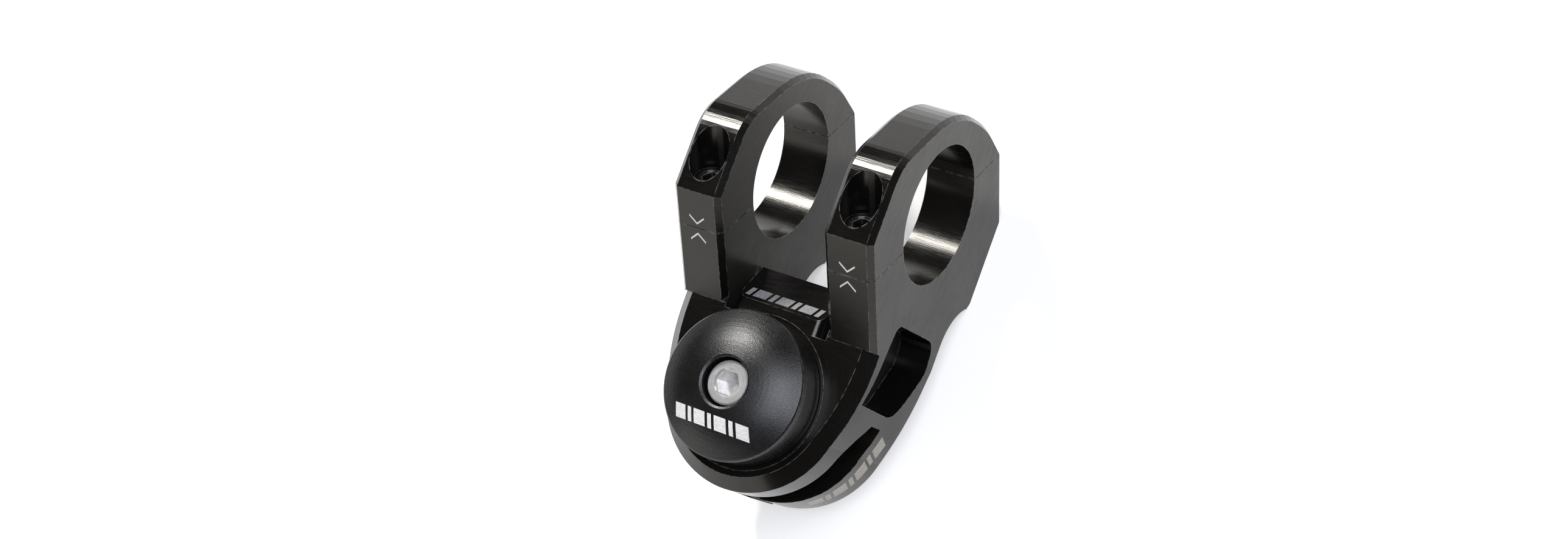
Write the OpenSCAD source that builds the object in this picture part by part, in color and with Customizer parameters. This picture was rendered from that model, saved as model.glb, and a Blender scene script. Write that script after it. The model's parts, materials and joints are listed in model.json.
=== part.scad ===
// Handlebar stem, 50 mm reach, with two separate bar caps on a 45 degree split.
// Origin: steerer axis at the bottom face. +Z up the steerer, +Y towards the bar,
// +X along the bar.

/* [Reach and stack] */
// Steerer axis to bar axis, along Y
reach = 50; // [48:1:56]
// Bar axis above the bottom face
bar_z = 24.8; // [24:0.2:26]
// Height of the steerer clamp
stack_h = 32.4; // [32:0.2:34]

/* [Steerer clamp] */
// Radius of the steerer bore
steerer_r = 14.3; // [14.2:0.05:14.35]
// Radius of the relief between the two clamping bands
relief_r = 15.2; // [15:0.1:15.6]
// Outer radius of the clamp
clamp_r = 21.9; // [21.5:0.1:22.5]
// Height of the lower clamping band
low_band_h = 11; // [10:0.5:12]
// Height of the upper clamping band's lower edge
high_band_z = 22.5; // [22:0.5:23]
// Width of the pinch slot in the lower band
slot_w = 2; // [1.5:0.25:3]
// Bevel round the top of the clamp
top_bevel = 3; // [2:0.2:3.2]
// Bevel round the bottom of the clamp
low_bevel = 1.3; // [0.8:0.1:1.6]

/* [Bar clamps] */
// Radius of the bar bore
bar_r = 15.9; // [15.8:0.05:16]
// Half of the overall width
half_w = 25; // [24.5:0.1:25.5]
// Half of the gap between the two arms
half_gap = 13; // [12.5:0.1:13.5]
// Bar axis to the flat faces that carry the alignment marks
v_face = 29; // [28.8:0.1:29.4]
// Chamfer along the edges of the arms and caps
edge_chamfer = 1.25; // [0.8:0.05:1.4]
// Gap between each cap and the stem body along the split
seam_gap = 0.16; // [0.12:0.02:0.3]
// Bar axis to the flat top of the caps
cap_top = 27.2; // [26.8:0.1:27.8]
// Bar axis to the flat front of the caps
cap_front = 22.4; // [22:0.1:23]
// Bar axis to the foot of the front face, which leans out slightly
chin_front = 23.2; // [22.8:0.1:23.4]
// Drop from the bar axis to the corner of the chin
chin_drop = 9.5; // [9:0.5:11]
// Bar axis to the sloping face of the caps
cap_slope = 22.2; // [21.8:0.1:22.8]
// Rounding between the flat top and the sloping face of the caps
brow_round = 11; // [8:1:14]
// Rounding between the sloping face and the front of the caps
nose_round = 28; // [20:1:30]

/* [Fasteners] */
// Bar axis to the axis of each cap bolt
cap_bolt_a = 22.6; // [22.2:0.1:23]
// Distance of the lower cap bolts from the bar axis
low_bolt_a = 21.2; // [21:0.1:21.6]
// Depth of the upper counterbore floor above the split
upper_seat = 4; // [3.5:0.5:5]
// Depth of the lower counterbore floor above the split
lower_seat = 2.4; // [2.2:0.2:3]
// Length of the cap bolts under the head
cap_bolt_len = 18; // [16:1:20]
// Length of the pinch bolt under the head
pinch_bolt_len = 16; // [16:1:16]
// Steerer axis to the pinch bolt axis
pinch_y = 18.2; // [18:0.1:18.4]

/* [Top cap and spacer] */
// Outer radius of the top cap
cap_r = 16.7; // [16.5:0.1:16.9]
// Height of the top cap's outer rim
rim_z = 41.4; // [41:0.2:42]
// Rise of the dome from the rim to the recess
dome_h = 4; // [3:0.2:4.4]
// Radius of the recess in the top cap
recess_r = 5.5; // [5.3:0.1:5.8]
// Length of the top cap bolt under the head
top_bolt_len = 25; // [24:1:25]
// Outer radius of the headset spacer
spacer_r = 16.4; // [16.2:0.1:16.6]

/* [Hidden] */
$fn = 96;
eps = 0.01;
big = 60;
anodised = [0.09, 0.085, 0.08];
black_steel = [0.14, 0.14, 0.15];
bright_steel = [0.78, 0.78, 0.76];
// M5 fastener: shank, head and washer, with the hole sizes that take them
m5_r = 2.45;
m5_thread_r = 2.5;
m5_clear_r = 2.75;
m5_head_r = 4.15;
m5_head_h = 5;
m5_key = 4;
m5_bore_r = 4.5;
washer_r = 4.3;
washer_h = 0.6;
face_gap = 0.03;
// M6 top cap bolt
m6_r = 2.95;
m6_thread_r = 3;
m6_head_r = 4.9;
m6_head_h = 6;
m6_key = 5;
// Arm centre across X
band_x = (half_gap + half_w) / 2;
band_w = half_w - half_gap;
split_angle = 45;
s45 = sin(45);
// Where the marked face of the arm meets the flat top of the clamp
fold_b = (stack_h - bar_z) / s45 - v_face;
fold_y = reach + (fold_b - v_face) * s45;
// Rounding of the chin of the bar caps
chin_round = 30;
// Bottom of the bar clamps, below the bottom face of the stack
clamp_floor = -8;
low_fold_b = (bar_z - clamp_floor) / s45;
low_fold_y = reach + (v_face - (low_fold_b - v_face)) * s45;
// Concave relief under the arms: its arc ends a little above the floor, then runs out forwards
relief_y = 24.5;
under_r = 11.3;
under_rise = 0.9;
relief_run = 12;
// Where the arms start inside the clamp, and where the arcs of their roots end
arm_start_y = 14;
root_end_y = 15.5;
// Outline of the arms round the steerer: two large arcs that meet the clamp
arc_r = 52;
arc_y = 14;
arc_cut_y = -9;
// Bottom bevel along the arms: where its planes meet the bottom face, and their turn
fade_x = 21;
fade_angle = 12.2;
fade_start_y = -3;
low_bevel_end_y = 19.5;
bevel_reach = 5;
// Cap bolt holes in the stem body
cap_hole_depth = 15.5;
// Pinch bolt across the lower band: its head is on the -X side, on an ear with a flat back
pinch_seat = 9.4;
pinch_hole_end = 6.3;
pinch_z = low_band_h / 2;
ear_y = 22.3;
ear_angle = 48;
ear_inset = 0.3;
ear_step = 0.4;
ear_h = low_band_h + 2;
slot_end_y = -8;
// Cross web between the arms
web_back_y = 12;
web_y = 19.3;
web_front_y = 27.3;
web_lip_z = 25.6;
pad_half_w = 11;
pad_round = 2;
valley_z = 24;
valley_y = 15.8;
window_round = 4.5;
// Shallow recess round the spacer
spacer_seat_r = 17.4;
spacer_seat = 0.6;
rim_h = 2;
spacer_top = rim_z - rim_h - face_gap;
head_floor_z = rim_z + dome_h - 7.6;

// Points on a circular arc in the plane
function arc_points(c, r, from, to, n) =
    [for (i = [0:n]) c + r * [cos(from + (to - from) * i / n), sin(from + (to - from) * i / n)]];

// Points that round the corner at p, between the directions to a and to b
function corner(a, p, b, r, n = 8) =
    let (u = (a - p) / norm(a - p))
    let (v = (b - p) / norm(b - p))
    let (half = acos(u * v) / 2)
    let (c = p + (u + v) / norm(u + v) * r / sin(half))
    let (s = p + u * r / tan(half) - c)
    let (e = p + v * r / tan(half) - c)
    let (from = atan2(s[1], s[0]))
    let (turn = atan2(s[0] * e[1] - s[1] * e[0], s * e))
    arc_points(c, r, from, from + turn, n);

// Rounded polygon from points and one radius a corner
function rounded(pts, radii) =
    let (n = len(pts))
    [for (i = [0:n - 1])
        each (radii[i] == 0
            ? [pts[i]]
            : corner(pts[(i + n - 1) % n], pts[i], pts[(i + 1) % n], radii[i]))];

// Extrudes a shape drawn in (Y, Z) along X, centred on x
module along_x(x, w) {
    translate([x, 0, 0])
        rotate([90, 0, 90])
            linear_extrude(height = w, center = true)
                children();
}

// Frame of the split: +Z is the direction in which the caps and their bolts come away
module at_split(x = 0, up = 0, out = 0) {
    translate([x, reach, bar_z])
        rotate([-split_angle, 0, 0])
            translate([0, -up, out])
                children();
}

// Square bar set on edge, which cuts a chamfer along Z
module chamfer_bar(h, c = edge_chamfer) {
    rotate([0, 0, 45])
        translate([-c * s45, -c * s45, 0])
            cube([2 * c * s45, 2 * c * s45, h]);
}

// Socket head screw along +Z, head above z = 0, shank below
module socket_screw(head_r, head_h, shank_r, shank_l, key, key_depth) {
    point = 0.6;
    rim = 0.35;
    difference() {
        union() {
            cylinder(h = head_h - rim, r = head_r);
            translate([0, 0, head_h - rim])
                cylinder(h = rim, r1 = head_r, r2 = head_r - rim);
            translate([0, 0, -shank_l + point])
                cylinder(h = shank_l - point + eps, r = shank_r);
            translate([0, 0, -shank_l])
                cylinder(h = point, r1 = shank_r - point, r2 = shank_r);
        }
        translate([0, 0, head_h - key_depth])
            cylinder(h = key_depth + 1, r = key / sqrt(3), $fn = 6);
        translate([0, 0, head_h - rim])
            cylinder(h = rim + eps, r1 = key / sqrt(3) - eps, r2 = key / sqrt(3) + rim);
    }
}

module m5_screw(l) {
    color(black_steel)
        socket_screw(m5_head_r, m5_head_h, m5_r, l, m5_key, 2.6);
}

module m5_washer() {
    color(bright_steel)
        difference() {
            cylinder(h = washer_h, r = washer_r);
            translate([0, 0, -1])
                cylinder(h = washer_h + 2, r = m5_clear_r);
        }
}

// ---- Bar caps ----

function in_yz(a, b) = [(b - a) * s45, (a + b) * s45];

// Outline of a bar clamp in front of the split, seen along the bar, bar axis at the origin
function cap_outline() =
    let (up = in_yz(v_face, 0))
    let (shoulder = [cap_top - v_face / s45, cap_top])
    let (brow = [cap_slope / s45 - cap_top, cap_top])
    let (nose = [cap_front, cap_slope / s45 - cap_front])
    let (chin = [chin_front, -chin_drop])
    let (low = in_yz(-v_face, 0))
    rounded(
        [up, shoulder, brow, nose, chin, low, in_yz(-v_face, -2), in_yz(v_face, -2)],
        [0, 0, brow_round, nose_round, chin_round, 0, 0, 0]);

// The whole band of one bar clamp, chamfered on both sides
module cap_band(x) {
    taper = 1 - edge_chamfer / v_face;
    mid_w = band_w - 2 * edge_chamfer;
    translate([x, reach, bar_z])
        rotate([90, 0, 90]) {
            linear_extrude(height = mid_w, center = true)
                polygon(cap_outline());
            for (m = [0, 1])
                mirror([0, 0, m])
                    translate([0, 0, mid_w / 2 - eps])
                        linear_extrude(height = edge_chamfer, scale = taper)
                            polygon(cap_outline());
        }
}

module bar_cap(x) {
    color(anodised)
        difference() {
            cap_band(x);
            at_split(x, 0, seam_gap / 2 - big)
                translate([0, 0, big / 2])
                    cube([big, 2 * big, big], center = true);
            along_x(x, band_w + 2)
                translate([reach, bar_z])
                    circle(r = bar_r);
            at_split(x, cap_bolt_a, -1)
                cylinder(h = big, r = m5_clear_r);
            at_split(x, -low_bolt_a, -1)
                cylinder(h = big, r = m5_clear_r);
            at_split(x, cap_bolt_a, upper_seat)
                cylinder(h = big, r = m5_bore_r);
            at_split(x, -low_bolt_a, lower_seat)
                cylinder(h = big, r = m5_bore_r);
        }
}

// Place of a cap bolt across the split: up is 1 above the bar and -1 below it
function bolt_place(up) = up > 0 ? cap_bolt_a : -low_bolt_a;

module cap_bolt(side, up) {
    seat = up > 0 ? upper_seat : lower_seat;
    at_split(side * band_x, bolt_place(up), seat + washer_h + face_gap)
        m5_screw(cap_bolt_len);
}

module cap_washer(side, up) {
    seat = up > 0 ? upper_seat : lower_seat;
    at_split(side * band_x, bolt_place(up), seat)
        m5_washer();
}

// ---- Stem body ----

// Side outline of an arm, behind the split
function arm_outline() =
    let (sin_end = (under_r + clamp_floor + under_rise) / under_r)
    concat(
        [[arm_start_y, 0]],
        arc_points([relief_y, -under_r], under_r, 90, asin(sin_end), 12),
        [[relief_y + relief_run, clamp_floor],
         [low_fold_y, clamp_floor],
         [reach + v_face * s45, bar_z - v_face * s45],
         [reach - v_face * s45, bar_z + v_face * s45],
         [fold_y, stack_h],
         [arm_start_y, stack_h]]);

// Plan of the ear for the head of the pinch bolt
function ear_plan() =
    let (side = (clamp_r - ear_inset) * [-cos(ear_angle), -sin(ear_angle)])
    [side, [-pinch_seat - ear_step, -ear_y], [0, -ear_y], [0, 0]];

// The two large arcs that bound the roots of the arms
module arm_roots() {
    intersection() {
        translate([half_w - arc_r, arc_y])
            circle(r = arc_r);
        translate([arc_r - half_w, arc_y])
            circle(r = arc_r);
        translate([-big / 2, arc_cut_y])
            square([big, root_end_y - arc_cut_y]);
    }
}

// Plan of the steerer clamp and the roots of the arms
module clamp_plan() {
    circle(r = clamp_r);
    arm_roots();
}

// What is left after the bevel round the top of the clamp
module beveled_top() {
    z0 = stack_h - top_bevel;
    h = top_bevel + 1;
    translate([0, 0, z0])
        union() {
            cylinder(h = h, r1 = clamp_r, r2 = clamp_r - h);
            intersection() {
                translate([half_w - arc_r, arc_y, 0])
                    cylinder(h = h, r1 = arc_r, r2 = arc_r - h);
                translate([arc_r - half_w, arc_y, 0])
                    cylinder(h = h, r1 = arc_r, r2 = arc_r - h);
                translate([-big / 2, arc_cut_y, 0])
                    cube([big, big, h]);
            }
        }
}

module top_bevel_cut() {
    difference() {
        translate([-big / 2, -big / 2, stack_h - top_bevel])
            cube([big, big / 2 + fold_y, top_bevel + 1 - eps]);
        beveled_top();
    }
}

// What is left after the bevel round the bottom: a cone, and two planes that fade out forwards
module beveled_bottom() {
    r0 = clamp_r - low_bevel;
    translate([0, 0, -1])
        cylinder(h = bevel_reach, r1 = r0 - 1, r2 = r0 - 1 + bevel_reach);
    intersection() {
        translate([-big / 2, fade_start_y, -1])
            cube([big, big, bevel_reach]);
        fade_side();
        mirror([1, 0, 0])
            fade_side();
    }
}

// All that lies inside the right-hand plane of the bottom bevel
module fade_side() {
    translate([fade_x, 0, 0])
        rotate([0, 0, -fade_angle])
            rotate([0, 45, 0])
                translate([-big, -big, -big])
                    cube([big, 2 * big, 2 * big]);
}

module bottom_bevel_cut() {
    difference() {
        translate([-big / 2, -big / 2, -1 + eps])
            cube([big, big / 2 + low_bevel_end_y, bevel_reach - 1]);
        beveled_bottom();
    }
}

// Cross web: raised pad behind, sloping face towards the bar
module web() {
    along_x(0, 2 * half_gap + 2)
        polygon([
            [web_back_y, 0], [web_front_y, 0], [web_front_y, web_lip_z],
            [web_y, stack_h], [web_back_y, stack_h]]);
}

// Everything above the sloping face of the web, between the arms
module above_slope() {
    along_x(0, 2 * half_gap)
        polygon([
            [web_y, stack_h], [web_front_y, web_lip_z],
            [web_front_y + 1, stack_h + 1], [web_y, stack_h + 1]]);
}

// Valleys between the pad and the arms, with the pad's rounded ends
module valley(side) {
    w = half_gap - pad_half_w + pad_round;
    difference() {
        translate([side > 0 ? half_gap - w : -half_gap, valley_y, valley_z])
            cube([w, big, big]);
        translate([side * (pad_half_w - pad_round), 0, stack_h - pad_round])
            rotate([-90, 0, 0])
                cylinder(h = big, r = pad_round);
        translate([side > 0 ? 0 : -pad_half_w, 0, 0])
            cube([pad_half_w, big, stack_h - pad_round]);
    }
}

// Open window between the web and the bar, with rounded rear corners
module window() {
    translate([0, 0, -big / 2])
        linear_extrude(height = 2 * big)
            polygon(rounded(
                [[-half_gap, web_front_y], [half_gap, web_front_y],
                 [half_gap, 2 * big], [-half_gap, 2 * big]],
                [window_round, window_round, 0, 0]));
}

// Outline of the pocket in the side of each arm
function pocket_outline() = rounded(
    [[24.4, 25.4], [24.4, 4.2], [17.6, 2.6], [4.8, 10.4], [5.3, 28]],
    [2.6, 3.6, 4.5, 5.5, 0]);

module pocket(side) {
    depth = 8;
    along_x(side * (half_w - depth / 2 + 1), depth + 2)
        polygon(pocket_outline());
}

// Gap between the two clamping bands, open at the back, with a pointed front end
module band_gap() {
    along_x(0, big)
        polygon([
            [-big, low_band_h], [1.9, low_band_h + 1.4], [1.9, 17.6],
            [-2.4, 20.6], [-7.5, high_band_z], [-big, high_band_z]]);
}

module arm(side) {
    x = side * band_x;
    difference() {
        along_x(x, band_w)
            polygon(arm_outline());
        for (e = [-1, 1]) {
            // The outer chamfer runs on into the bevel, the inner one stops above the flat top
            at_split(x + e * band_w / 2, v_face, fold_b + (e == side ? -1 : 0.25))
                chamfer_bar(big);
            at_split(x + e * band_w / 2, -v_face, 2 - v_face)
                chamfer_bar(big);
        }
    }
}

module pinch_hole() {
    translate([0, -pinch_y, pinch_z])
        rotate([0, 90, 0]) {
            translate([0, 0, -pinch_seat - 1])
                cylinder(h = pinch_seat + 1, r = m5_clear_r);
            cylinder(h = pinch_hole_end, r = m5_thread_r);
            translate([0, 0, -pinch_seat - big])
                cylinder(h = big, r = m5_bore_r);
        }
}

module stem_body() {
    color(anodised)
        difference() {
            union() {
                difference() {
                    union() {
                        linear_extrude(height = stack_h)
                            clamp_plan();
                        arm(-1);
                        arm(1);
                        web();
                    }
                    top_bevel_cut();
                    bottom_bevel_cut();
                }
                linear_extrude(height = ear_h)
                    polygon(ear_plan());
            }
            window();
            above_slope();
            valley(-1);
            valley(1);
            pocket(-1);
            pocket(1);
            band_gap();
            // Everything in front of the split
            at_split(0, 0, -seam_gap / 2)
                translate([-big, -big, 0])
                    cube([2 * big, 2 * big, 2 * big]);
            along_x(0, big)
                translate([reach, bar_z])
                    circle(r = bar_r);
            // Steerer bore, relief and spacer seat
            translate([0, 0, -1])
                cylinder(h = stack_h + 2, r = steerer_r);
            translate([0, 0, low_band_h])
                cylinder(h = high_band_z - low_band_h, r = relief_r);
            translate([0, 0, stack_h - spacer_seat])
                cylinder(h = 2, r = spacer_seat_r);
            translate([-slot_w / 2, -big, -1])
                cube([slot_w, big + slot_end_y, ear_h + 1]);
            for (x = [-band_x, band_x])
                for (up = [-1, 1])
                    at_split(x, bolt_place(up), -cap_hole_depth)
                        cylinder(h = cap_hole_depth + 1, r = m5_thread_r);
            pinch_hole();
        }
}

// ---- Pinch bolt ----

module at_pinch(out) {
    translate([-pinch_seat - out, -pinch_y, pinch_z])
        rotate([0, -90, 0])
            children();
}

module pinch_bolt() {
    at_pinch(washer_h + face_gap)
        m5_screw(pinch_bolt_len);
}

module pinch_washer() {
    at_pinch(0)
        m5_washer();
}

// ---- Top cap, spacer and star nut ----

module headset_spacer() {
    z0 = stack_h - spacer_seat;
    edge = 0.4;
    bore_r = steerer_r + 0.1;
    color(anodised)
        rotate_extrude()
            polygon([
                [bore_r, z0], [spacer_r - edge, z0], [spacer_r, z0 + edge],
                [spacer_r, spacer_top - edge], [spacer_r - edge, spacer_top],
                [bore_r, spacer_top]]);
}

module top_cap() {
    boss_r = 12;
    boss_h = 4.4;
    rim_edge = 0.3;
    lip_r = recess_r + 0.5;
    z0 = rim_z - rim_h;
    color(anodised)
        rotate_extrude()
            polygon(concat(
                [[m6_thread_r + 0.4, z0 - boss_h], [boss_r - 0.5, z0 - boss_h],
                 [boss_r, z0 - boss_h + 0.5], [boss_r, z0],
                 [cap_r - rim_edge, z0], [cap_r, z0 + rim_edge],
                 [cap_r, rim_z - rim_edge], [cap_r - rim_edge, rim_z]],
                [for (i = [1:10])
                    let (t = i / 10)
                    let (r = cap_r - rim_edge + (lip_r - cap_r + rim_edge) * t)
                    [r, rim_z + dome_h * (t + 0.16 * sin(180 * t))]],
                [[recess_r, rim_z + dome_h - 0.2], [recess_r, head_floor_z],
                 [m6_thread_r + 0.4, head_floor_z]]));
}

module top_cap_bolt() {
    color(bright_steel)
        translate([0, 0, head_floor_z + face_gap])
            socket_screw(m6_head_r, m6_head_h, m6_r, top_bolt_len, m6_key, 3.2);
}

// Spring plates grip the inside of the steerer tube; the barrel is threaded for the bolt
nut_low_z = 12.6;
nut_h = 8;
nut_r = 5;
neck_r = 4.2;
plate_h = 0.8;

module star_nut_barrel() {
    color(bright_steel)
        translate([0, 0, nut_low_z])
            difference() {
                union() {
                    cylinder(h = nut_h, r = neck_r);
                    translate([0, 0, plate_h])
                        cylinder(h = nut_h - 2 * plate_h, r = nut_r);
                }
                translate([0, 0, -1])
                    cylinder(h = nut_h + 2, r = m6_thread_r);
            }
}

// Dished plate with leaves cut by radial slots
module star_spring(z) {
    leaf_r = 11.4;
    rise = 2.2;
    leaves = 6;
    color(bright_steel)
        translate([0, 0, z])
            difference() {
                rotate_extrude()
                    polygon([
                        [neck_r, 0], [6.4, 0], [leaf_r, rise], [leaf_r, rise + plate_h],
                        [6.2, plate_h], [neck_r, plate_h]]);
                for (i = [0:leaves - 1])
                    rotate([0, 0, i * 360 / leaves])
                        translate([6.8, -1.5, -1])
                            cube([10, 3, 6]);
            }
}

stem_body();
bar_cap(-band_x);  // left_bar_cap
bar_cap(band_x);  // right_bar_cap
cap_bolt(-1, 1);  // left_upper_cap_bolt
cap_bolt(-1, -1);  // left_lower_cap_bolt
cap_bolt(1, 1);  // right_upper_cap_bolt
cap_bolt(1, -1);  // right_lower_cap_bolt
cap_washer(-1, 1);  // left_upper_cap_washer
cap_washer(-1, -1);  // left_lower_cap_washer
cap_washer(1, 1);  // right_upper_cap_washer
cap_washer(1, -1);  // right_lower_cap_washer
pinch_bolt();
pinch_washer();
headset_spacer();
top_cap();
top_cap_bolt();
star_nut_barrel();
star_spring(nut_low_z + nut_h - plate_h);  // star_nut_upper_spring
star_spring(nut_low_z);  // star_nut_lower_spring
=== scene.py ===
import json
import math

import bmesh
import bpy
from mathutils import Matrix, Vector

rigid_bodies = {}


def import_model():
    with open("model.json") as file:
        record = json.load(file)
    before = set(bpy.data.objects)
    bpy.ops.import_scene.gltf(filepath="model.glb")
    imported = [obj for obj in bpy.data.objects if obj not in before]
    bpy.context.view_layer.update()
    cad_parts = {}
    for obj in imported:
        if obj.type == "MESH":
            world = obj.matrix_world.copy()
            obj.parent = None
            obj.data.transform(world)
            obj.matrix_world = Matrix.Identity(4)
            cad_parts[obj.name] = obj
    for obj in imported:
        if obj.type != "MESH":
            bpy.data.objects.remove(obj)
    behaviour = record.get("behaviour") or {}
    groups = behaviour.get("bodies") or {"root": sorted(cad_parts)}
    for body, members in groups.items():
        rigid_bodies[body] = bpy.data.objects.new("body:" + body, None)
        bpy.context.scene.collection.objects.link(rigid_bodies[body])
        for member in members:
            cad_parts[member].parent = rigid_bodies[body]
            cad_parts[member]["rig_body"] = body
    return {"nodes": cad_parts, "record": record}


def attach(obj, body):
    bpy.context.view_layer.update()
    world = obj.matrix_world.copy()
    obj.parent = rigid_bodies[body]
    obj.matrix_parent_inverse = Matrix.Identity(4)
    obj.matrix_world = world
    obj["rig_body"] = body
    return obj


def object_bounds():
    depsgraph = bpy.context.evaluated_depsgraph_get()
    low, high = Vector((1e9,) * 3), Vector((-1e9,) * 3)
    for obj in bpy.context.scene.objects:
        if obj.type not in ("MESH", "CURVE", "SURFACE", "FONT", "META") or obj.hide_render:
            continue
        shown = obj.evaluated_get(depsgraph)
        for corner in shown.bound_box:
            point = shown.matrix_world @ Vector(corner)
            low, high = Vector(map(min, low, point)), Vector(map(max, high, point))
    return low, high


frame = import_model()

MM = 0.001
cad_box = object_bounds()
nodes = frame["nodes"]
slot_of = {piece["node"]: piece["material_slot"] for piece in frame["record"]["subparts"]}
scene = bpy.context.scene


# ---- Materials ----

class Finish:
    """One Principled material, with short names for the nodes it is built from.
    Places and lengths in its nodes are in millimetres."""

    def __init__(self, name, **constants):
        self.material = bpy.data.materials.new(name)
        self.material.use_nodes = True
        self.tree = self.material.node_tree
        self.shader = self.tree.nodes["Principled BSDF"]
        for socket, value in constants.items():
            self.shader.inputs[socket.replace("_", " ")].default_value = value
        coords = self.tree.nodes.new("ShaderNodeTexCoord")
        self.place = self.vector("SCALE", coords.outputs["Object"], scale=1 / MM)
        self.facing = self.parts(coords.outputs["Normal"])

    def math(self, operation, a, b=0.0, clamp=False):
        node = self.tree.nodes.new("ShaderNodeMath")
        node.operation = operation
        node.use_clamp = clamp
        for socket, value in zip(node.inputs, (a, b)):
            self.feed(socket, value)
        return node.outputs[0]

    def vector(self, operation, a, b=None, scale=None):
        node = self.tree.nodes.new("ShaderNodeVectorMath")
        node.operation = operation
        self.feed(node.inputs[0], a)
        if b is not None:
            self.feed(node.inputs[1], b)
        if scale is not None:
            node.inputs["Scale"].default_value = scale
        return node.outputs["Value" if operation in ("DOT_PRODUCT", "LENGTH") else "Vector"]

    def feed(self, socket, value):
        if isinstance(value, bpy.types.NodeSocket):
            self.tree.links.new(value, socket)
        else:
            socket.default_value = value

    def parts(self, vector):
        node = self.tree.nodes.new("ShaderNodeSeparateXYZ")
        self.tree.links.new(vector, node.inputs[0])
        return node.outputs

    def remap(self, value, low, high, to_low=0.0, to_high=1.0):
        node = self.tree.nodes.new("ShaderNodeMapRange")
        for socket, number in zip(node.inputs, (value, low, high, to_low, to_high)):
            self.feed(socket, number)
        return node.outputs[0]

    def mix(self, factor, a, b):
        """From a at factor 0 to b at factor 1."""
        return self.math("ADD", a, self.math("MULTIPLY", factor, self.math("SUBTRACT", b, a)))

    def noise(self, where, scale, detail=2.0):
        node = self.tree.nodes.new("ShaderNodeTexNoise")
        self.tree.links.new(where, node.inputs["Vector"])
        node.inputs["Scale"].default_value = scale
        node.inputs["Detail"].default_value = detail
        return node.outputs["Fac"]

    def lines(self, x, y, z):
        """Tool marks: noise squeezed by these amounts per millimetre along each axis."""
        return self.noise(self.vector("MULTIPLY", self.place, (x, y, z)), 1.0, 3.0)

    def turned(self, pitch):
        """Lathe marks round the vertical axis, one every `pitch` millimetres."""
        x, y, z = self.parts(self.place)
        squares = self.math("ADD", self.math("MULTIPLY", x, x), self.math("MULTIPLY", y, y))
        radius = self.math("SQRT", squares)
        node = self.tree.nodes.new("ShaderNodeCombineXYZ")
        for socket, value in zip(node.inputs, (radius, z, 0.0)):
            self.feed(socket, value)
        return self.noise(node.outputs[0], 1 / pitch, 3.0)

    def edges(self, radius=0.3):
        """1 on a sharp edge, falling to 0 within `radius` millimetres of it."""
        bevel = self.tree.nodes.new("ShaderNodeBevel")
        bevel.samples = 6
        bevel.inputs["Radius"].default_value = radius * MM
        geometry = self.tree.nodes.new("ShaderNodeNewGeometry")
        bend = self.vector("DOT_PRODUCT", bevel.outputs["Normal"], geometry.outputs["Normal"])
        return self.remap(bend, 0.995, 0.93)

    def specks(self, spacing=3.5, share=0.35, radius=0.05):
        """Rare dust specks: small dots in some cells of a grid of this spacing."""
        cells = self.tree.nodes.new("ShaderNodeTexVoronoi")
        self.tree.links.new(self.place, cells.inputs["Vector"])
        cells.inputs["Scale"].default_value = 1 / spacing
        near = self.remap(cells.outputs["Distance"], radius / spacing, radius / spacing * 0.6)
        chosen = self.math("LESS_THAN", self.parts(cells.outputs["Color"])[0], share)
        return self.math("MULTIPLY", near, chosen)

    def colour(self, factor, dark, light):
        node = self.tree.nodes.new("ShaderNodeMix")
        node.data_type = "RGBA"
        self.feed(node.inputs[0], factor)
        for socket, value in ((node.inputs[6], dark), (node.inputs[7], light)):
            if isinstance(value, tuple):
                value = (*value, 1.0)
            self.feed(socket, value)
        return node.outputs[2]

    def use(self, colour, roughness, relief, depth):
        """Wires colour, roughness and a relief `depth` millimetres deep to the shader."""
        self.feed(self.shader.inputs["Base Color"], colour)
        self.feed(self.shader.inputs["Roughness"], roughness)
        bump = self.tree.nodes.new("ShaderNodeBump")
        bump.inputs["Strength"].default_value = 1.0
        bump.inputs["Distance"].default_value = depth * MM
        self.feed(bump.inputs["Height"], relief)
        self.feed(self.shader.inputs["Normal"], bump.outputs["Normal"])
        return self.material


# Black dye on glossy faces and a lighter dye on satin flats, the lighter dye being painted sheen; then
# dust; then bare metal, rubbed steel and bright steel on the edges: wear, and a painted highlight along
# the sharp edges
DYE = (0.0042, 0.0038, 0.0034)
SATIN_DYE_AND_PAINTED_SHEEN = (0.0165, 0.0152, 0.0132)
DUST = (0.3, 0.29, 0.27)
PALE_DUST = (0.35, 0.34, 0.33)
BARE_WEAR_AND_PAINTED_GLINT = (0.34, 0.325, 0.3)
RUBBED_WEAR_AND_PAINTED_GLINT = (0.3, 0.29, 0.27)
WORN_EDGE_AND_PAINTED_GLINT = (0.9, 0.89, 0.87)
# Lathe marks are used behind this Y on the stem body, in millimetres
TURNED_BEHIND = 13


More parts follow.
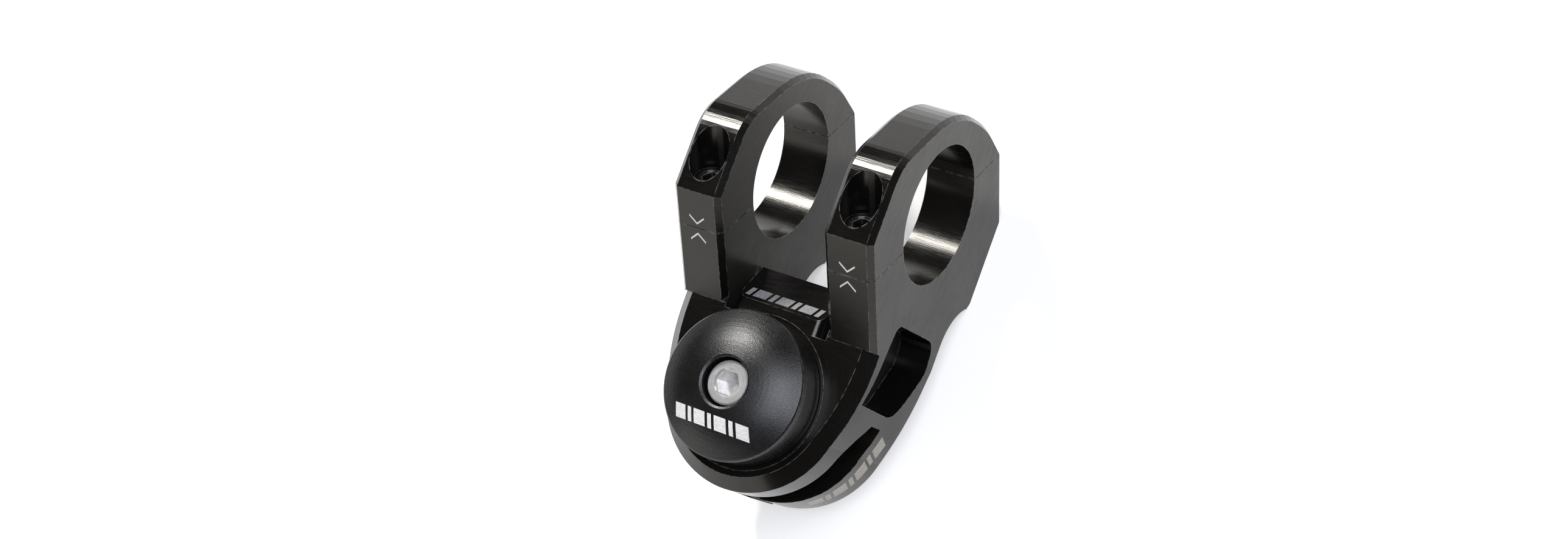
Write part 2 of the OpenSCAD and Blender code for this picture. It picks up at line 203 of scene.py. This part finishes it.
def machined_black(name, turned_behind=None):
    """Black anodised aluminium: satin on the milled flats, glossy on curved faces and chamfers.
    Behind y = turned_behind the tool marks run round the steerer axis. The flats are found by their
    normals: along X on the sides, and half up, half back on the faces beside the split. The flats get a
    lighter dye, which is painted sheen, and the sharp edges are lightened, partly as wear and partly as
    a painted highlight."""
    f = Finish(name, Specular_IOR_Level=0.5, Specular_Tint=(1.0, 0.965, 0.9, 1.0))
    nx, ny, nz = f.facing
    side = f.remap(f.math("ABSOLUTE", nx), 0.9, 0.97)
    v_face = f.remap(f.math("SUBTRACT", nz, ny), 1.386, 1.407)
    satin_and_painted_sheen = f.math("MAXIMUM", side, v_face)
    across = f.lines(0.25, 4.5, 4.5)
    along = f.lines(4.5, 0.3, 3.2)
    marks = f.mix(side, across, along)
    if turned_behind is not None:
        behind = f.remap(f.parts(f.place)[1], turned_behind + 2, turned_behind - 2)
        marks = f.mix(behind, marks, f.turned(0.28))
    cloud = f.noise(f.place, 0.09, 3.0)
    grain = f.noise(f.place, 6.0, 2.0)
    wear_and_edge_glint = f.math("MULTIPLY", f.edges(), f.remap(f.noise(f.place, 0.8, 3.0), 0.38, 0.62))
    uneven = f.mix(0.5, f.remap(marks, 0.3, 0.7), f.remap(cloud, 0.3, 0.7))
    tone = f.math("MULTIPLY", satin_and_painted_sheen, uneven, clamp=True)
    # Flats picked by their facing get the lighter dye: painted sheen on the satin faces
    base = f.colour(f.mix(0.35, satin_and_painted_sheen, tone), DYE, SATIN_DYE_AND_PAINTED_SHEEN)
    # Sharp edges lightened to bare metal in patches: wear, and a painted highlight along the edges
    base = f.colour(f.math("MULTIPLY", wear_and_edge_glint, 0.55), base, BARE_WEAR_AND_PAINTED_GLINT)
    base = f.colour(f.specks(), base, DUST)
    rough = f.mix(satin_and_painted_sheen, 0.2, 0.4)
    rough = f.math("ADD", rough, f.remap(marks, 0.3, 0.7, -0.05, 0.07))
    rough = f.math("ADD", rough, f.remap(cloud, 0.35, 0.65, -0.03, 0.03))
    relief = f.mix(0.2, marks, grain)
    return f.use(base, rough, relief, 0.018)


def blasted_black(name):
    """Bead-blasted and dyed: an even fine grain that sparkles in a highlight."""
    f = Finish(name, Specular_IOR_Level=0.55)
    grain = f.noise(f.place, 4.0, 5.0)
    cloud = f.noise(f.place, 0.12, 3.0)
    wear_and_edge_glint = f.math("MULTIPLY", f.edges(0.22), f.remap(f.noise(f.place, 1.1, 3.0), 0.35, 0.6))
    base = f.colour(f.remap(cloud, 0.35, 0.65), (0.005, 0.005, 0.0055), (0.0085, 0.0085, 0.009))
    # Sharp edges lightened to bare metal in patches: wear, and a painted highlight along the edges
    base = f.colour(f.math("MULTIPLY", wear_and_edge_glint, 0.5), base, BARE_WEAR_AND_PAINTED_GLINT)
    base = f.colour(f.specks(4.5, 0.4), base, PALE_DUST)
    rough = f.math("ADD", f.remap(grain, 0.3, 0.7, 0.22, 0.36), f.remap(cloud, 0.35, 0.65, -0.02, 0.03))
    return f.use(base, rough, grain, 0.045)


def turned_black(name):
    """Glossy black spacer with fine lathe lines."""
    f = Finish(name, Specular_IOR_Level=0.6)
    marks = f.turned(0.22)
    wear_and_edge_glint = f.math("MULTIPLY", f.edges(0.25), f.remap(f.noise(f.place, 1.0, 3.0), 0.35, 0.6))
    base = f.colour(f.remap(marks, 0.35, 0.65), (0.006, 0.006, 0.006), (0.011, 0.0105, 0.01))
    # Sharp edges lightened to bare metal in patches: wear, and a painted highlight along the edges
    base = f.colour(f.math("MULTIPLY", wear_and_edge_glint, 0.6), base, BARE_WEAR_AND_PAINTED_GLINT)
    return f.use(base, f.remap(marks, 0.3, 0.7, 0.16, 0.28), marks, 0.012)


def bolt_black(name):
    """Black oxide steel, oily and slightly mottled, rubbed bright on the edges of head and socket. The
    bright edges are also a painted glint.
    """
    f = Finish(name, Metallic=0.3, Specular_IOR_Level=0.5)
    mottle = f.noise(f.place, 1.3, 4.0)
    grain = f.noise(f.place, 7.0, 2.0)
    wear_and_edge_glint = f.math("MULTIPLY", f.edges(0.3), f.remap(f.noise(f.place, 1.6, 3.0), 0.3, 0.55))
    base = f.colour(f.remap(mottle, 0.3, 0.7), (0.006, 0.0057, 0.0054), (0.016, 0.015, 0.014))
    # Edges of head and socket lightened in patches: rubbed steel, and a painted glint
    base = f.colour(f.math("MULTIPLY", wear_and_edge_glint, 0.7), base, RUBBED_WEAR_AND_PAINTED_GLINT)
    return f.use(base, f.remap(mottle, 0.3, 0.7, 0.22, 0.38), f.mix(0.5, mottle, grain), 0.02)


def steel(name, dark, light, smooth, rough, pitch=None, metallic=1.0):
    """Bare steel, turned when it has a pitch, otherwise rolled and blotchy."""
    f = Finish(name, Metallic=metallic)
    blotch = f.noise(f.place, 0.9, 4.0)
    marks = f.turned(pitch) if pitch else f.lines(0.6, 5.0, 5.0)
    wear_and_edge_glint = f.edges(0.2)
    base = f.colour(f.remap(f.mix(0.5, blotch, marks), 0.35, 0.65), dark, light)
    # Sharp edges lightened towards near-white all along: a painted highlight, with some rubbed steel
    base = f.colour(f.math("MULTIPLY", wear_and_edge_glint, 0.4), base, WORN_EDGE_AND_PAINTED_GLINT)
    return f.use(base, f.remap(f.mix(0.6, blotch, marks), 0.35, 0.65, smooth, rough), marks, 0.012)


def print_ink(name, dark, light, roughness):
    """Printed or laser-etched mark: slightly uneven cover over the metal's grain."""
    f = Finish(name, Specular_IOR_Level=0.4)
    cover = f.mix(0.5, f.noise(f.place, 2.5, 4.0), f.noise(f.place, 9.0, 2.0))
    base = f.colour(f.remap(cover, 0.38, 0.58), dark, light)
    return f.use(base, f.remap(cover, 0.35, 0.65, roughness - 0.08, roughness + 0.08), cover, 0.015)


finishes = {
    "anodised_body": machined_black("anodised_body", turned_behind=TURNED_BEHIND),
    "anodised_caps": machined_black("anodised_caps"),
    "black_bolts": bolt_black("black_bolts"),
    "washers": steel("washers", (0.34, 0.33, 0.31), (0.55, 0.54, 0.51), 0.28, 0.45),
    "spacer": turned_black("spacer"),
    "top_cap": blasted_black("top_cap"),
    "silver_bolt": steel(
        "silver_bolt", (0.74, 0.73, 0.71), (0.88, 0.87, 0.85), 0.16, 0.3, pitch=0.3, metallic=0.55),
    "star_nut": steel("star_nut", (0.24, 0.22, 0.19), (0.46, 0.43, 0.38), 0.3, 0.5),
}


def paint_frame():
    """Every CAD node takes the finish that carries the name of its slot in the record."""
    for name, obj in nodes.items():
        obj.data.materials.clear()
        obj.data.materials.append(finishes[slot_of[name]])


# Rounding of the sharp edges, and the bend from which an edge counts as sharp
EDGE_ROUNDING = 0.12
SHARP_DEGREES = 28


def soften_edges(name):
    """A thin rounding on the sharp edges of a CAD node, so that they catch the light."""
    bevel = nodes[name].modifiers.new("edge_rounding", "BEVEL")
    bevel.width = EDGE_ROUNDING * MM
    bevel.segments = 2
    bevel.limit_method = "ANGLE"
    bevel.angle_limit = math.radians(SHARP_DEGREES)
    bevel.use_clamp_overlap = True
    bevel.harden_normals = True


# ---- Marks: thin raised print, dropped onto the CAD surface ----

# Each mark stands this far out of the surface and reaches as far into it
PRINT_H = 0.035
# Rays start this far out, well clear of the part
CLEAR = 60


def landing(node, origin, direction):
    """Where a ray in millimetres meets the CAD node, and the surface normal there."""
    hit, point, normal, _ = nodes[node].ray_cast(Vector(origin) * MM, Vector(direction).normalized())
    if not hit:
        raise ValueError(f"mark misses {node} at {origin}")
    return point, normal


def strokes(name, node, bars, ray, ink, cuts=(1, 1)):
    """Closed thin slabs on the surface of a node. Each bar is four (u, v) corners, and ray(u, v) gives
    the origin and direction of the line that drops a point onto the node. `cuts` divides each bar
    along and across, so that it follows a curved surface."""
    along, across = cuts
    mesh = bmesh.new()
    for corners in bars:
        a, b, c, d = (Vector(corner) for corner in corners)
        top, low = [], []
        for i in range(along + 1):
            for j in range(across + 1):
                u, v = a.lerp(b, i / along).lerp(d.lerp(c, i / along), j / across)
                point, normal = landing(node, *ray(u, v))
                top.append(mesh.verts.new(point + normal * PRINT_H * MM))
                low.append(mesh.verts.new(point - normal * PRINT_H * MM))
        wide = across + 1
        for i in range(along):
            for j in range(across):
                k = i * wide + j
                mesh.faces.new([top[n] for n in (k, k + wide, k + wide + 1, k + 1)])
                mesh.faces.new([low[n] for n in (k, k + 1, k + wide + 1, k + wide)])
        rim = [i * wide for i in range(along)] + [along * wide + j for j in range(across)]
        rim += [i * wide + across for i in range(along, 0, -1)] + list(range(across, 0, -1))
        for n, m in zip(rim, rim[1:] + rim[:1]):
            mesh.faces.new((top[n], low[n], low[m], top[m]))
    bmesh.ops.recalc_face_normals(mesh, faces=mesh.faces)
    data = bpy.data.meshes.new(name)
    mesh.to_mesh(data)
    mesh.free()
    data.materials.append(ink)
    obj = bpy.data.objects.new(name, data)
    scene.collection.objects.link(obj)
    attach(obj, nodes[node]["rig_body"])


def slanted_row(start, end, middle, height, widths, gap, lean):
    """Bars of the given relative widths from u = start to end, centred on v = middle. Their upper ends
    are shifted by `lean`."""
    unit = (end - start - gap * (len(widths) - 1) - abs(lean)) / sum(widths)
    low, high = middle - height / 2, middle + height / 2
    u = start + max(0, -lean)
    bars = []
    for width in widths:
        wide = unit * width
        bars.append(((u, low), (u + wide, low), (u + wide + lean, high), (u + lean, high)))
        u += wide + gap
    return bars


def chevron(x, tip, tail, half_span, stroke):
    """Two strokes that meet at v = tip and end at v = tail."""
    rise = tail - tip
    length = math.hypot(half_span, rise)
    cut = stroke * length / half_span / 2
    bars = []
    for side in (-1, 1):
        end = x + side * half_span
        bars.append(((x, tip - cut), (end, tail - cut), (end, tail + cut), (x, tip + cut)))
    return bars


# The split lies at 45 degrees: A points back and up across it, B forward and up out of it
S45 = math.sqrt(0.5)
BAR_CENTRE = Vector((0, 50, 24.8))
AXIS_A = Vector((0, -S45, S45))
AXIS_B = Vector((0, S45, S45))


def onto_v_face(u, b):
    """Down onto the flats beside the split, b millimetres above it."""
    return BAR_CENTRE + Vector((u, 0, 0)) + AXIS_B * b + AXIS_A * CLEAR, -AXIS_A


def straight_down(u, v):
    return Vector((u, v, CLEAR)), Vector((0, 0, -1))


def towards_steerer(u, v):
    """Level, from outside towards the steerer axis: u is the bearing in degrees, v the height."""
    out = Vector((math.cos(math.radians(u)), math.sin(math.radians(u)), 0))
    return out * CLEAR + Vector((0, 0, v)), -out


WIDE_FIRST = (3, 1, 3, 1, 3, 1, 3)
THIN_FIRST = (1, 3, 1, 3, 1, 3, 1)
CHEVRON_LINE = 0.36


def add_marks():
    white = print_ink("white_print", (0.62, 0.61, 0.59), (0.86, 0.86, 0.84), 0.45)
    grey = print_ink("grey_etch", (0.2, 0.2, 0.2), (0.4, 0.4, 0.39), 0.38)
    tan = print_ink("warm_etch", (0.22, 0.2, 0.17), (0.42, 0.39, 0.34), 0.42)
    for side, x in (("left", -19.1), ("right", 18.9)):
        above = chevron(x, 1.15, 2.95, 1.9, CHEVRON_LINE)
        below = chevron(x, -1.5, -3.4, 1.95, CHEVRON_LINE)
        strokes(f"{side}_cap_chevron", f"{side}_bar_cap", above, onto_v_face, white)
        strokes(f"{side}_body_chevron", "stem_body", below, onto_v_face, white)
    cap_row = slanted_row(-10.4, 9.4, -9.0, 3.0, WIDE_FIRST, 0.7, -0.9)
    strokes("top_cap_bars", "top_cap", cap_row, straight_down, white, cuts=(4, 4))
    web_row = slanted_row(-9.7, 9.7, 21.0, 1.9, THIN_FIRST, 0.7, 0.6)
    strokes("web_bars", "stem_body", web_row, straight_down, grey)
    band_row = slanted_row(-62, 1.5, 7.4, 4.2, WIDE_FIRST, 2.0, 3.5)
    strokes("band_bars", "stem_body", band_row, towards_steerer, tan, cuts=(6, 1))


# ---- Camera, floor and light ----

# The photograph's viewpoint: behind and above, to the rider's right (millimetres and degrees)
CAMERA_PLACE = (230.64, -6.26, 485.8)
CAMERA_TURN = (13.418, 24.164, 21.952)
FLOOR_SIZE = 6
# All lights aim here, in millimetres
AIM = (0, 25, 25)


def make_camera():
    data = bpy.data.cameras.new("camera")
    data.lens = 53.48
    data.sensor_width = 36
    data.clip_start = 0.01
    data.clip_end = 20
    camera = bpy.data.objects.new("camera", data)
    camera.location = Vector(CAMERA_PLACE) * MM
    camera.rotation_euler = [math.radians(angle) for angle in CAMERA_TURN]
    scene.collection.objects.link(camera)
    scene.camera = camera


def make_floor():
    bpy.ops.mesh.primitive_plane_add(size=FLOOR_SIZE, location=(0, 0, cad_box[0].z))
    floor = bpy.context.object
    floor.name = "floor"
    f = Finish("pale_floor", Specular_IOR_Level=0.2)
    cloud = f.noise(f.place, 0.004, 2.0)
    f.shader.inputs["Emission Color"].default_value = (1, 1, 1, 1)
    f.shader.inputs["Emission Strength"].default_value = 0.45
    pale = f.colour(cloud, (0.84, 0.84, 0.83), (0.88, 0.88, 0.87))
    floor.data.materials.append(f.use(pale, 0.8, cloud, 0.01))


def towards(bearing, height):
    """Unit vector to a bearing and height in degrees, seen from the part."""
    b, h = math.radians(bearing), math.radians(height)
    return Vector((math.cos(h) * math.cos(b), math.cos(h) * math.sin(b), math.sin(h)))


def light(data, bearing, height, energy, colour=(1, 1, 1), distance=1.2):
    """Puts a lamp at this bearing and height, where the camera doesn't see it."""
    data.energy = energy
    data.color = colour
    obj = bpy.data.objects.new(data.name, data)
    aim = Vector(AIM) * MM
    obj.location = aim + towards(bearing, height) * distance
    obj.rotation_euler = (aim - obj.location).to_track_quat("-Z", "Y").to_euler()
    obj.visible_camera = False
    scene.collection.objects.link(obj)


def sun(name, spread):
    data = bpy.data.lights.new(name, "SUN")
    data.angle = math.radians(spread)
    return data


def panel(name, wide, tall):
    data = bpy.data.lights.new(name, "AREA")
    data.shape = "RECTANGLE"
    data.size = wide
    data.size_y = tall
    return data


def make_studio():
    """A warm key light ahead on the left, a large soft light overhead on the right, and two fill panels.
    The backdrop is white to the camera and dark in reflections, so that the metal stays black."""
    light(sun("key", 9), 131, 43, 2.2, (1.0, 0.985, 0.95))
    light(panel("soft_top", 0.75, 0.7), 12, 66, 9.0, (0.88, 0.9, 1.0), distance=1.1)
    light(panel("rear_panel", 1.5, 0.7), -115, 18, 4.0, (1.0, 0.99, 0.96))
    light(panel("front_strip", 0.5, 0.3), 60, 20, 0.6)
    world = bpy.data.worlds.new("world")
    world.use_nodes = True
    tree = world.node_tree
    path = tree.nodes.new("ShaderNodeLightPath")
    backdrop = tree.nodes.new("ShaderNodeMapRange")
    backdrop.inputs["To Min"].default_value = 0.05
    backdrop.inputs["To Max"].default_value = 1.0
    tree.links.new(path.outputs["Is Camera Ray"], backdrop.inputs["Value"])
    tree.nodes["Background"].inputs["Color"].default_value = (1, 1, 1, 1)
    tree.links.new(backdrop.outputs[0], tree.nodes["Background"].inputs["Strength"])
    scene.world = world
    scene.view_settings.view_transform = "Standard"


paint_frame()
for part in ("stem_body", "left_bar_cap", "right_bar_cap"):
    soften_edges(part)
add_marks()
make_camera()
make_floor()
make_studio()
